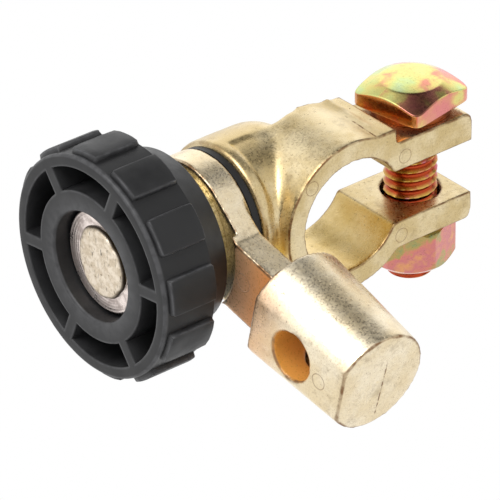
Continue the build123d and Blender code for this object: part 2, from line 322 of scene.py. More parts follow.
@dataclass(frozen=True)
class MouldedPlastic:
    """Moulded polypropylene: matte and near black, with a fine mould texture, a painted highlight along its
    edges and painted shade in its hollows.
    """

    name: str
    face: str
    shade: str
    painted_highlight: str
    hollow: str = "#09090a"
    roughness: float = 0.46
    gloss: float = 0.35
    texture_mm: float = 0.35

    def build(self) -> Material:
        """Build the finish."""
        finish = Finish(self.name)
        grain = finish.noise(self.texture_mm)
        smear = finish.noise(4.0, 5.0, 0.65)
        colour = finish.blend(finish.band(smear, 0.35, 0.65), self.shade, self.face)
        edge_breakup = finish.band(finish.noise(1.5, 4.0), 0.35, 0.6, 0.5, 1.0)
        # Painted highlight: the marked edges turn paler.
        colour = finish.blend(finish.math("MULTIPLY", finish.trait(Trait.EDGE), edge_breakup), colour, self.painted_highlight)
        # Painted shade: the pockets, the hub's well, the skirt and the grip's grooves darken towards near
        # black.
        colour = finish.blend(finish.trait(Trait.CREASE), colour, self.hollow)
        rough = finish.band(smear, 0.3, 0.7, self.roughness - 0.06, self.roughness + 0.08)
        finish.shader.inputs["Specular IOR Level"].default_value = self.gloss
        return finish.finish(colour, rough, [(0.3, 0.02, grain), (0.2, 0.05, smear)])


@dataclass(frozen=True)
class YellowChromate:
    """Zinc-plated steel with yellow chromate: the thin film drifts from straw to green, pink and orange, with
    small dull spots. Marked points run to a deep orange and to a dark brown painted shade."""

    name: str
    stops: tuple[tuple[float, str], ...]
    deep_orange: str = "#c8562a"
    shade: str = "#3c2010"
    spot: str = "#7a6248"
    patch_mm: float = 5.0
    patch_rough: float = 0.6
    roughness: float = 0.2

    def build(self) -> Material:
        """Build the finish."""
        finish = Finish(self.name)
        film = finish.noise(self.patch_mm, 4.0, self.patch_rough)
        film = finish.math("SUBTRACT", film, finish.trait(Trait.EDGE))
        colour = finish.ramp(film, self.stops)
        grain = finish.noise(0.35, 3.0)
        colour = finish.blend(finish.band(grain, 0.62, 0.72, 0.0, 0.35), colour, self.spot)
        # Deep orange where WARM marks it: painted shade in the thread's grooves and on the head's underside,
        # and the facet facing most nearly +X.
        colour = finish.blend(finish.trait(Trait.WARM), colour, self.deep_orange)
        # Painted shade and painted dark reflection: the marked points darken to brown.
        colour = finish.blend(finish.trait(Trait.CREASE), colour, self.shade)
        finish.shader.inputs["Metallic"].default_value = 1.0
        rough = finish.band(grain, 0.3, 0.7, self.roughness - 0.05, self.roughness + 0.08)
        return finish.finish(colour, rough, [(0.22, 0.03, grain)])


@dataclass(frozen=True)
class TurnedSteel:
    """Steel turned on a lathe: bright, with fine rings round the axis and small smears."""

    name: str
    bright: str
    dull: str
    roughness: float = 0.26
    grain_mm: float = 0.8

    def build(self) -> Material:
        """Build the finish."""
        finish = Finish(self.name)
        smear = finish.noise(self.grain_mm, 4.0, 0.6)
        colour = finish.blend(finish.band(smear, 0.4, 0.65), self.bright, self.dull)
        finish.shader.inputs["Metallic"].default_value = 1.0
        rough = finish.band(smear, 0.3, 0.7, self.roughness - 0.08, self.roughness + 0.12)
        return finish.finish(colour, rough, [(0.25, 0.03, finish.noise(0.25))])


@dataclass(frozen=True)
class PeenedMetal:
    """Stud end spread by a press: pale, bruised and pitted, with dark dirt in the pits."""

    name: str = "peened_stud_end"
    pale: str = "#e0d3c0"
    dull: str = "#c6b69e"
    dirt: str = "#3a3024"
    scratch_turns: tuple[float, ...] = (0.6, 1.5, 2.3)

    def build(self) -> Material:
        """Build the finish."""
        finish = Finish(self.name)
        bruise = finish.noise(0.9, 5.0, 0.7)
        colour = finish.blend(finish.band(bruise, 0.4, 0.62), self.pale, self.dull)
        pits = finish.band(finish.noise(0.45, 3.0, 0.6), 0.66, 0.74)
        for turn in self.scratch_turns:
            inputs = {"Vector": finish.place, "Rotation": (turn, 0, 0), "Scale": (1, 0.3, 1.9)}
            lean = finish.add("Mapping", inputs).outputs[0]
            streak = finish.add("TexNoise", {"Vector": lean, "Scale": 1.6, "Detail": 2.0}).outputs["Fac"]
            pits = finish.math("MAXIMUM", pits, finish.band(streak, 0.67, 0.73, 0.0, 0.8))
        colour = finish.blend(finish.math("MAXIMUM", pits, finish.trait(Trait.CREASE)), colour, self.dirt)
        finish.shader.inputs["Metallic"].default_value = 0.6
        deep = finish.math("SUBTRACT", bruise, pits)
        return finish.finish(colour, finish.band(bruise, 0.3, 0.7, 0.3, 0.46), [(0.5, 0.08, deep)])


@dataclass(frozen=True)
class Spindle:
    """Line that a surface runs round, in millimetres of the part's frame."""

    origin: Triple
    along: Triple
    first: Triple
    second: Triple

    def place(self, reach: Array, radius: Array, angle: Array) -> Array:
        """Place points: origin, plus reach along the line, plus radius at the angle from first to second.

        Args:
            reach: Distance along the line.
            radius: Distance from the line.
            angle: Angle in radians.

        Returns:
            Points, one row each, in millimetres.
        """
        reach, radius, angle = np.broadcast_arrays(reach, radius, angle)
        points = (
            np.array(self.origin)
            + reach[..., None] * np.array(self.along)
            + (radius * np.cos(angle))[..., None] * np.array(self.first)
            + (radius * np.sin(angle))[..., None] * np.array(self.second)
        )
        return points.reshape(-1, 3)


STUD = Spindle((0, 0, 13.0), (1, 0, 0), (0, 1, 0), (0, 0, 1))
BOLT = Spindle((-16.5, 0, 6.7), (0, 1, 0), (1, 0, 0), (0, 0, -1))


def grid_quads(rows: int, columns: int, wrap_rows: bool) -> Array:
    """List the quads of a grid whose columns close into a ring.

    Args:
        rows: Points along the profile.
        columns: Points round the axis.
        wrap_rows: Whether the last row meets the first.

    Returns:
        Four point numbers for each quad.
    """
    row = np.arange(rows if wrap_rows else rows - 1)[:, None]
    place = np.arange(columns)[None, :]
    beside = (place + 1) % columns
    above = (row + 1) % rows
    corners = (
        row * columns + place,
        row * columns + beside,
        above * columns + beside,
        above * columns + place,
    )
    return np.stack(corners, -1).reshape(-1, 4)


def stack_rows(rows: list[tuple], columns: int) -> tuple[Array, Array]:
    """Stack the rows of a grid round an axis.

    Args:
        rows: Reach and radius of one row or of a block of rows, each a number, a column of numbers
            or a whole block.
        columns: Points round the axis.

    Returns:
        Reach and radius of each point, rows by columns.
    """
    even = np.ones((1, columns))
    blocks = [np.broadcast_arrays(reach, radius, even)[:2] for reach, radius in rows]
    return np.concatenate([b[0] for b in blocks]), np.concatenate([b[1] for b in blocks])


def around(count: int) -> Array:
    """Give even angles once round, the first at nothing."""
    return np.linspace(0, TURN, count, endpoint=False)


def column(*values: float) -> Array:
    """Stand numbers in a column, one for each row of a grid."""
    return np.array(values)[:, None]


def write_traits(mesh: bpy.types.Mesh, traits: dict[Trait, Array]) -> None:
    """Write numbers for the finish on the points of a mesh."""
    for trait, values in traits.items():
        attribute = mesh.attributes.new(trait.value, "FLOAT", "POINT")
        attribute.data.foreach_set("value", np.ascontiguousarray(values, np.float32).ravel())


def link_piece(name: str, mesh: bpy.types.Mesh) -> bpy.types.Object:
    """Put a mesh in the scene as an object of its own."""
    piece = bpy.data.objects.new(name, mesh)
    bpy.context.scene.collection.objects.link(piece)
    return piece


def make_piece(
    name: str,
    body: Body,
    points: Array,
    quads: Array,
    material: Material,
    traits: dict[Trait, Array] | None = None,
    sharp: float = 50.0,
) -> bpy.types.Object:
    """Make a closed piece that rides on a body, its faces outwards and its place in its mesh.

    The sum of the signed volumes under the quads says which way the faces point.

    Args:
        name: Name of the piece.
        body: Body that carries it.
        points: Points in millimetres.
        quads: Four point numbers for each face.
        material: Its finish.
        traits: Numbers for the finish, one for each point.
        sharp: Angle in degrees past which an edge is drawn sharp.

    Returns:
        The new object.
    """
    corner = points[quads]
    fans = np.cross(corner[:, 1], corner[:, 2]) + np.cross(corner[:, 2], corner[:, 3])
    if np.einsum("ij,ij->", corner[:, 0], fans) < 0:
        quads = quads[:, ::-1]
    mesh = bpy.data.meshes.new(name)
    mesh.from_pydata((points * MM).tolist(), [], quads.tolist())
    write_traits(mesh, traits or {})
    work = bmesh.new()
    work.from_mesh(mesh)
    bmesh.ops.remove_doubles(work, verts=work.verts, dist=MERGE * MM)
    bmesh.ops.dissolve_degenerate(work, edges=work.edges, dist=SLIVER * MM)
    work.to_mesh(mesh)
    work.free()
    mesh.shade_smooth()
    mesh.set_sharp_from_angle(angle=np.radians(sharp))
    mesh.materials.append(material)
    piece = link_piece(name, mesh)
    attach(piece, body.value)
    LOG.info("made %s with %d faces", name, len(mesh.polygons))
    return piece


def step_noise(points: Array, size: float, seed: int) -> Array:
    """Give a smooth noise between minus one and one at each point.

    A lattice of seeded random numbers is blended between its eight nearest ones with a smooth step.

    Args:
        points: Points in millimetres.
        size: Spacing of the lattice.
        seed: Seed of its numbers.

    Returns:
        One value for each point.
    """
    side = 32
    lattice = np.random.default_rng(seed).uniform(-1, 1, (side, side, side))
    cell = points / size + side
    base = np.floor(cell).astype(int)
    part = cell - base
    part = part * part * (3 - 2 * part)
    total = np.zeros(len(points))
    for corner in np.ndindex(2, 2, 2):
        weight = np.prod(np.where(corner, part, 1 - part), axis=1)
        spot = (base + corner) % side
        total += weight * lattice[spot[:, 0], spot[:, 1], spot[:, 2]]
    return total


def bump_at(value: Array, middle: float, width: float) -> Array:
    """Give a bell that is one at the middle and falls off over the width."""
    return np.exp(-(((value - middle) / width) ** 2))


def square_hole(angle: Array, half: float, corner: float) -> Array:
    """Give a square's radius at each angle: its half width over the larger of cosine and sine,
    held to a corner radius."""
    return np.minimum(half / np.maximum(np.abs(np.cos(angle)), np.abs(np.sin(angle))), corner)


def thread_groove(reach: Array, angle: Array, pitch: float) -> Array:
    """Give a helical thread's depth from nothing at the crest to one at the root.

    The phase is the reach over the pitch less the angle over a turn, and the flanks are straight.
    """
    phase = (reach / pitch - angle / TURN) % 1.0
    return np.clip(1.25 - 2.5 * np.abs(phase - 0.5), 0, 1)


def round_corner(
    first: tuple[float, float], corner: tuple[float, float], last: tuple[float, float], radius: float
) -> Array:
    """Round the corner of a profile with a quarter of an ellipse in four steps.

    Args:
        first: Point before the corner.
        corner: The corner.
        last: Point after it.
        radius: Distance from the corner at which the round starts.

    Returns:
        Points of the round, from first to last.
    """
    start, middle, end = (np.array(p, float) for p in (first, corner, last))
    inward = (start - middle) / np.linalg.norm(start - middle) * radius
    onward = (end - middle) / np.linalg.norm(end - middle) * radius
    angle = np.linspace(0, np.pi / 2, 5)[:, None]
    return middle + inward * (1 - np.sin(angle)) + onward * (1 - np.cos(angle))


def rounded_profile(corners: list[Triple], closed: bool) -> Array:
    """Carry a profile through its corners, each with its own round.

    Args:
        corners: Reach, radius from the axis and round of each corner.
        closed: Whether the last corner joins the first.

    Returns:
        Profile points.
    """
    runs = []
    count = len(corners)
    for index, (reach, radius, size) in enumerate(corners):
        ends = index in (0, count - 1) and not closed
        if size == 0 or ends:
            runs.append(np.array([[reach, radius]]))
            continue
        before = corners[index - 1][:2]
        after = corners[(index + 1) % count][:2]
        runs.append(round_corner(before, (reach, radius), after, size))
    return np.concatenate(runs)


class Places:
    """Places on a casting that have a finish or a fillet of their own; a plain casting has none."""

    def shape(self, points: Array) -> Array:
        """Give the points where the casting departs a little from its solid."""
        return points

    def warm(self, points: Array) -> Array:
        """Mark where a copper reflection is painted."""
        return np.zeros(len(points))

    def ochre(self, points: Array) -> Array:
        """Mark where an ochre reflection is painted in a hole."""
        return np.zeros(len(points))

    def gold_reflection(self, points: Array) -> Array:
        """Mark where a gold reflection is painted."""
        return np.zeros(len(points))

    def matte(self, points: Array) -> Array:
        """Mark where the skin is matte."""
        return np.zeros(len(points))

    def soft(self, points: Array) -> Array:
        """Mark where a fillet joins two forms."""
        return np.zeros(len(points))


@dataclass
class ClampPlaces(Places):
    """The clamp's raised and matte shoulder, the fillet between ring and boss, and the painted gold
    reflection in its hollows.
    """

    ring_radius: float = 12.1
    bore_radius: float = 8.95
    boss_radius: float = 11.0
    hollow_top: float = 4.0
    hollow_height: float = 10.5
    ear_height: float = 8.95
    flat_height: float = 10.65
    shoulder_height: float = 11.33
    shoulder_reach: float = 8.3
    bore_reflection: float = 0.4
    crease_reflection: float = 0.7

    def crease(self, points: Array) -> Array:
        """Measure how far a point lies from the line where the ring's wall meets the boss."""
        ring = np.abs(np.hypot(points[:, 0], points[:, 1]) - self.ring_radius)
        boss = np.abs(np.hypot(points[:, 1], points[:, 2] - STUD.origin[2]) - self.boss_radius)
        return np.where(points[:, 0] > 0, np.hypot(ring, boss), FAR_AWAY)

    def shape(self, points: Array) -> Array:
        """Raise the shoulder's flat to where the photograph shows it, so it meets the ring's wall
        further in: heights over the ear are stretched by the wanted height over the present one."""
        across, height = points[:, 0], points[:, 1]
        wall = np.sqrt(np.maximum(self.ring_radius**2 - across**2, 0))
        wanted = np.maximum(self.shoulder_height, wall) - self.ear_height
        present = np.maximum(self.flat_height, wall) - self.ear_height
        above = (across < 0) & (across > -self.shoulder_reach) & (height > self.ear_height)
        moved = points.copy()
        moved[above, 1] += ((height - self.ear_height) * (wanted / present - 1))[above]
        return moved

    def matte(self, points: Array) -> Array:
        """Mark the shoulder, which is duller than the rest."""
        across = np.sqrt(self.ring_radius**2 - self.shoulder_height**2)
        line = np.hypot(points[:, 0] + across, points[:, 1] - self.shoulder_height)
        return np.clip(1.6 - line / 1.5, 0, 1)

    def soft(self, points: Array) -> Array:
        """Mark the fillet: full at the crease and gone two millimetres away."""
        return np.clip(1.6 - 0.8 * self.crease(points), 0, 1)

    def gold_reflection(self, points: Array) -> Array:
        """Mark the painted gold reflection: the post bore lightly, and the low end of the crease strongly."""
        bore = np.hypot(points[:, 0], points[:, 1]) < self.bore_radius
        low = np.clip((self.hollow_top - points[:, 1]) / 6, 0, 1)
        low = low * np.clip((self.hollow_height - points[:, 2]) / 4, 0, 1)
        near = np.clip(1.4 - self.crease(points) / 2.2, 0, 1)
        return np.maximum(self.bore_reflection * bore, self.crease_reflection * low * near)


@dataclass
class LugPlaces(Places):
    """The lug's arm face and block flat, with a painted copper reflection, and the painted ochre reflection
    in its cable hole.
    """

    arm_front: float = 21.3
    cable_place: float = 29.1
    cable_radius: float = 3.95
    lug_angle: float = 12.85
    neck_end: float = 11.6
    arm_end: float = 20.3
    hole_reflection: float = 0.95

    def along(self, points: Array) -> tuple[Array, Array]:
        """Give each point's distance along the lug from the stud, and across it."""
        lean = np.radians(self.lug_angle)
        rise = points[:, 2] - STUD.origin[2]
        down = -points[:, 1] * np.sin(lean) - rise * np.cos(lean)
        return down, points[:, 1] * np.cos(lean) - rise * np.sin(lean)

    def warm(self, points: Array) -> Array:
        """Mark the painted copper reflection: the arm's flat front and, fading outwards, the block's flat."""
        down, _ = self.along(points)
        front = np.abs(points[:, 0] - self.arm_front) < 0.12
        arm = front & (down < self.arm_end) & (down > self.neck_end)
        flat = (points[:, 0] > self.arm_front + 0.3) & (down > 20.5)
        faded = np.where(flat, np.clip(0.4 - (down - 22.0) / 16.0, 0, 0.4), 0.0)
        return np.where(arm, np.clip(0.55 + (down - self.neck_end) / 16.0, 0, 1), faded)

    def ochre(self, points: Array) -> Array:
        """Mark the painted ochre reflection on the cable hole's wall."""
        down, side = self.along(points)
        hole = np.hypot(down - self.cable_place, side) < self.cable_radius
        return np.where(hole, self.hole_reflection, 0.0)


@dataclass
class Casting:
    """A packed casting with a soft cast skin: rounded edges and a slightly uneven surface."""

    node: str
    body: Body
    material: Material
    voxel: float = 0.225
    smoothing: int = 7
    ripple: float = 0.014
    ripple_size: float = 1.6
    soft_rounds: int = 70
    bend_gain: float = 9.0
    seeds: tuple[int, int] = (3, 4)
    lift_top: float = 1.5
    places: Places = field(default_factory=Places)

    def skin(self, source: bpy.types.Object) -> bpy.types.Mesh:
        """Join the solid's loose triangles and lay an even skin of small quads over it."""
        mesh = source.data.copy()
        mesh.materials.clear()
        work = bmesh.new()
        work.from_mesh(mesh)
        bmesh.ops.remove_doubles(work, verts=work.verts, dist=0.001 * MM)
        work.to_mesh(mesh)
        work.free()
        rough = link_piece(self.node + "_rough", mesh)
        remesh = rough.modifiers.new("skin", "REMESH")
        remesh.mode = "VOXEL"
        remesh.voxel_size = self.voxel * MM
        graph = bpy.context.evaluated_depsgraph_get()
        skin = bpy.data.meshes.new_from_object(rough.evaluated_get(graph))
        bpy.data.objects.remove(rough)
        return skin

    def relax(self, points: Array, edges: Array) -> Array:
        """Move each point half way to the mean of its neighbours, a few times over, and many more
        times where the casting has a fillet."""
        ends = np.concatenate([edges, edges[:, ::-1]])
        count = np.bincount(ends[:, 0], minlength=len(points))[:, None]
        weight = np.ones((len(points), 1))
        fillet = self.places.soft(points)[:, None]
        for step in range(self.smoothing + self.soft_rounds):
            if step == self.smoothing:
                weight = fillet
            mean = self.gather(points, ends) / count
            points = points + weight * (mean - points) / 2
        return points

    def gather(self, values: Array, ends: Array) -> Array:
        """Add up the values of each point's neighbours."""
        size = len(values)
        sums = [np.bincount(ends[:, 0], values[ends[:, 1], k], size) for k in range(values.shape[1])]
        return np.stack(sums, 1)

    def bend(self, points: Array, normals: Array, edges: Array) -> Array:
        """Measure how the skin bends: the neighbours' mean lies outside in a hollow and inside on an edge."""
        ends = np.concatenate([edges, edges[:, ::-1]])
        count = np.bincount(ends[:, 0], minlength=len(points))[:, None]
        lean = self.gather(points, ends) / count - points
        value = np.einsum("ij,ij->i", lean, normals)[:, None] / self.voxel
        for _ in range(2):
            value = (value + self.gather(value, ends) / count) / 2
        return value[:, 0]

    def build(self, frame: dict) -> bpy.types.Object:
        """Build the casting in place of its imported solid.

        Its ripple only sinks the skin: two noises, the second half as wide and half as strong, less
        the most that they can add up to.
        """
        mesh = self.skin(frame["nodes"][self.node])
        count = len(mesh.vertices)
        points = np.empty(count * 3)
        mesh.vertices.foreach_get("co", points)
        edges = np.empty(len(mesh.edges) * 2, int)
        mesh.edges.foreach_get("vertices", edges)
        edges = edges.reshape(-1, 2)
        points = self.relax(self.places.shape(points.reshape(-1, 3) / MM), edges)
        mesh.vertices.foreach_set("co", (points * MM).ravel())
        mesh.update()
        normals = np.empty(count * 3)
        mesh.vertex_normals.foreach_get("vector", normals)
        normals = normals.reshape(-1, 3)
        bend = self.bend(points, normals, edges)
        lift = step_noise(points, self.ripple_size, self.seeds[0])
        lift = lift + 0.5 * step_noise(points, self.ripple_size / 2, self.seeds[1])
        points = points + normals * (self.ripple * (lift - self.lift_top))[:, None]
        mesh.vertices.foreach_set("co", (points * MM).ravel())
        traits = {
            Trait.EDGE: np.clip(-bend * self.bend_gain, 0, 1),
            # Painted gold reflection: inward bends of the skin and the places' marks.
            Trait.CREASE: np.maximum(np.clip(bend * self.bend_gain, 0, 1), self.places.gold_reflection(points)),
            Trait.WARM: self.places.warm(points),
            Trait.OCHRE: self.places.ochre(points),
            Trait.MATTE: self.places.matte(points),
        }
        write_traits(mesh, traits)
        mesh.materials.clear()
        mesh.materials.append(self.material)
        mesh.shade_smooth()
        piece = link_piece(self.node + "_skin", mesh)
        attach(piece, self.body.value)
        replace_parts(piece, self.node)
        LOG.info("cast %s with %d faces", piece.name, len(mesh.polygons))
        return piece


@dataclass
class Knob:
    """Moulded knob: a ring section carried round the stud, with pockets, spokes and grip pads."""

    material: Material
    skirt_rear: float = 23.2
    grip_rear: float = 28.7
    front: float = 37.6
    skirt_radii: tuple[float, float] = (13.1, 15.0)
    skirt_wall: float = 2.4
    skirt_depth: float = 4.6
    flange_radius: float = 8.65
    flange_front: float = 24.9
    bore_radius: float = 5.6
    hub_floor: float = 33.8
    hub_bore: float = 8.3
    hub_radius: float = 11.4
    rim_inner: float = 15.1
    grip_radius: float = 16.85
    spoke_half: float = 0.85
    first_pad: float = -22.5
    pad_count: int = 12
    spoke_count: int = 6
    pad_half: float = 2.8
    pad_front: float = 36.7
    pad_rise: float = 0.845
    pad_corner: float = 0.7
    drive_half: float = 4.55
    drive_corner: float = 6.05
    wall_steps: tuple[float, ...] = (0.0, 0.06, 0.14, 0.3, 0.38, 0.5)
    wall_depths: tuple[float, ...] = (0.0, 0.04, 0.2, 6.5, 6.85, 7.0)
    pad_steps: tuple[float, ...] = (0.0, 0.06, 0.14, 0.22, 0.42)
    pad_lifts: tuple[float, ...] = (0.0, 0.45, 0.82, 0.95, 1.0)
    pocket_highlight: float = 0.35
    rim_highlight: float = 0.45
    hub_highlight: float = 0.35
    pocket_shade: float = 0.6
    well_shade: float = 0.8
    skirt_shade: float = 0.9
    grip_shade: float = 0.4
    pad_gain: float = 0.15

    def section(self) -> tuple[Array, Array]:
        """Walk the section once round, from the bore's rear over the front and back along the skirt.

        Returns:
            Reach and radius of each station.
        """
        step = np.array(self.wall_steps)
        pocket = np.concatenate([
            self.hub_radius + step,
            np.linspace(self.hub_radius + 0.9, self.rim_inner - 0.9, 4),
            self.rim_inner - step[::-1],
        ])
        pad = np.array(self.pad_steps)
        grip = np.concatenate([
            self.pad_front - pad,
            np.linspace(self.pad_front - 1.5, self.grip_rear + 1.5, 5),
            self.grip_rear + pad[::-1],
        ])
        rear, front = self.skirt_radii
        runs = [
            rounded_profile([
                (self.flange_front, self.flange_radius, 0),
                (self.flange_front, self.bore_radius, 0),
                (self.hub_floor, self.bore_radius, 0),
                (self.hub_floor, self.hub_bore, 0.3),
                (self.front, self.hub_bore, 0.45),
                (self.front, self.hub_radius - 0.3, 0),
            ], False),
            np.column_stack([np.full(len(pocket), self.front), pocket]),
            rounded_profile([
                (self.front, self.rim_inner + 0.3, 0),
                (self.front, self.grip_radius, 0.5),
                (self.pad_front + 0.1, self.grip_radius, 0),
            ], False),
            np.column_stack([grip, np.full(len(grip), self.grip_radius)]),
            rounded_profile([
                (self.grip_rear, self.grip_radius - 0.4, 0),
                (self.grip_rear, front, 0.2),
                (self.skirt_rear, rear, 0.4),
                (self.skirt_rear, rear - self.skirt_wall, 0.2),
                (self.skirt_rear + self.skirt_depth, front - self.skirt_wall, 0.3),
                (self.skirt_rear + self.skirt_depth, self.flange_radius, 0.3),
                (self.flange_front + 0.2, self.flange_radius, 0),
            ], False),
        ]
        section = np.concatenate(runs)
        return section[:, 0], section[:, 1]

    def offsets(self) -> Array:
        """Give the columns of one sector as distances in millimetres from its pad's middle."""
        wall = self.spoke_half + np.array(self.wall_steps)
        pad = self.pad_half - np.array(self.pad_steps)[::-1]
        half = np.concatenate([[0.45], wall, pad, [3.05, 3.5]])
        return np.concatenate([-half[::-1], [0.0], half])

    def angles(self, radius: Array) -> Array:
        """Give each column's angle at each radius: walls keep their distance from the pad's middle line.

        The angle is the arc sine of that distance over the radius, with the radius held at the hub
        for wall columns and at the grip for pad columns, so that no two columns cross.

        Args:
            radius: Radius of each station.

        Returns:
            Angles in radians, stations by columns.
        """
        offset = self.offsets()
        held = np.where(np.abs(offset) < self.spoke_half + 0.6, self.hub_radius - 0.8, self.rim_inner + 0.9)
        lean = np.arcsin(offset / np.maximum(radius[:, None], held))
        edge = np.full((len(radius), 1), np.pi / self.pad_count)
        sector = np.concatenate([lean, edge], axis=1)
        starts = np.radians(self.first_pad) + TURN / self.pad_count * np.arange(self.pad_count)
        return (starts[None, :, None] + sector[:, None, :]).reshape(len(radius), -1)

    def from_nearest(self, angle: Array, count: int) -> Array:
        """Give the angle from the nearest of this many even places, the first at the first pad."""
        sector = TURN / count
        return (angle - np.radians(self.first_pad) + sector / 2) % sector - sector / 2

    def inside_pocket(self, radius: Array, angle: Array) -> Array:
        """Measure how far a place on the front lies inside the nearest pocket's border."""
        turned = self.from_nearest(angle, self.spoke_count)
        beside = radius * np.abs(np.sin(turned)) - self.spoke_half
        return np.minimum(beside, np.minimum(radius - self.hub_radius, self.rim_inner - radius))

    def inside_pad(self, reach: Array, angle: Array) -> Array:
        """Measure how far a place on the grip lies inside the nearest pad's round-cornered border."""
        turned = self.from_nearest(angle, self.pad_count)
        across = self.pad_half - self.grip_radius * np.abs(np.sin(turned))
        along = np.minimum(self.pad_front - reach, reach - self.grip_rear)
        short = np.hypot(np.maximum(self.pad_corner - across, 0), np.maximum(self.pad_corner - along, 0))
        return np.where(short > 0, self.pad_corner - short, np.minimum(across, along))

    def edge_highlights(self, reach: Array, spread: Array, front: tuple, grip: tuple) -> Array:
        """Mark the edges that carry a painted highlight: those of the pads, the pockets, the rim and the hub.

        Args:
            reach: Distance of each point along the stud.
            spread: Its distance from the stud.
            front: Whether it is on the front, and how far inside a pocket.
            grip: Whether it is on the grip, and how far inside a pad.

        Returns:
            Painted highlight of each point.
        """
        edges = np.maximum(
            np.where(grip[0], bump_at(grip[1], 0.14, 0.08), 0),
            np.where(front[0], self.pocket_highlight * bump_at(front[1], 0.0, 0.07), 0),
        )
        rim = (spread > self.grip_radius - 0.4) & (reach > self.front - 0.6)
        hub = (spread < self.hub_bore + 0.5) & (reach > self.front - 0.5)
        return np.maximum(edges, np.where(rim, self.rim_highlight, 0) + np.where(hub, self.hub_highlight, 0))

    def shade(self, reach: Array, spread: Array, pocket: Array, grip: tuple) -> Array:
        """Mark what lies in the shade: the pockets, the hub's well, the skirt and the grip's grooves."""
        skirt = (reach < self.grip_rear - 0.3) & (spread > self.skirt_radii[0] - 0.5)
        well = (spread < self.hub_bore + 0.2) & (reach < self.front - 0.4)
        hollow = np.where(pocket > 0.2, self.pocket_shade, 0) + np.where(well, self.well_shade, 0)
        hollow = hollow + np.where(skirt, self.skirt_shade, 0)
        groove = self.grip_shade - self.pad_gain * np.clip(grip[1] * 3, 0, 1)
        return hollow + np.where(grip[0], groove, 0)

    def build(self) -> bpy.types.Object:
        """Build the knob: pockets sink the front along the axis and pads lift the grip outwards."""
        station, radius = self.section()
        angle = self.angles(radius)
        reach = np.broadcast_to(station[:, None], angle.shape)
        spread = np.broadcast_to(radius[:, None], angle.shape)
        drive = square_hole(angle, self.drive_half, self.drive_corner)
        spread = np.where(spread < self.bore_radius + ON_FACE, drive, spread)
        on_front = (reach > self.front - ON_FACE) & (spread > self.hub_bore)
        pocket = np.where(on_front, self.inside_pocket(spread, angle), -1.0)
        sunk = np.interp(pocket, self.wall_steps, self.wall_depths)
        on_grip = (reach < self.front - 0.6) & (spread > self.grip_radius - ON_FACE)
        pad = np.where(on_grip, self.inside_pad(reach, angle), -1.0)
        lift = self.pad_rise * np.interp(pad, self.pad_steps, self.pad_lifts)
        points = STUD.place(reach - sunk, spread + lift, angle)
        traits = {
            Trait.EDGE: self.edge_highlights(reach, spread, (on_front, pocket), (on_grip, pad)),
            Trait.CREASE: self.shade(reach, spread, pocket, (on_grip, pad)),
        }
        quads = grid_quads(*angle.shape, wrap_rows=True)
        piece = make_piece("knob_moulding", Body.KNOB, points, quads, self.material, traits, 40)
        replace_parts(piece, "knob")
        return piece


